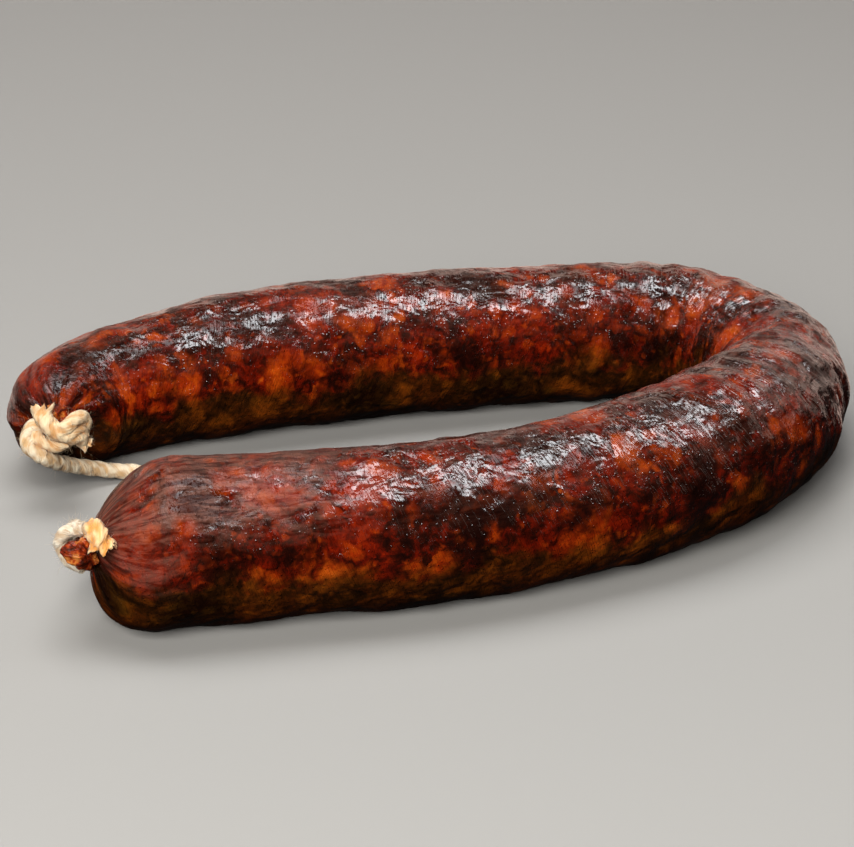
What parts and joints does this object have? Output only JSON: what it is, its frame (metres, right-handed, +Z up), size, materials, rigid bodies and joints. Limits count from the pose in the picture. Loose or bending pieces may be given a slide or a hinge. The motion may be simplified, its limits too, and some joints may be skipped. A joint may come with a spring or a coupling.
{
  "type": "cured sausage",
  "caption": "Horseshoe-shaped dry-cured sausage lying on its side, its gathered ends tied and joined by a string for hanging; whole food item for a board, counter or larder.",
  "frame": {"origin": "bottom centre of the part's box, on the surface that the sausage lies on", "axes": "+X points to the round of the bend, +Z is up, and both tied tips point towards -X with the near tip on the -Y side"},
  "size_m": [0.1995, 0.1357, 0.0363],
  "materials": {
    "casing": "glossy oiled casing, dark red-brown meat with amber fat showing through",
    "cotton_string": "matt twisted cream cotton"
  },
  "bodies": {
    "root": {"sausage": "casing", "knot_near": "cotton_string", "knot_far": "cotton_string", "string": "cotton_string"}
  },
  "joints": []
}
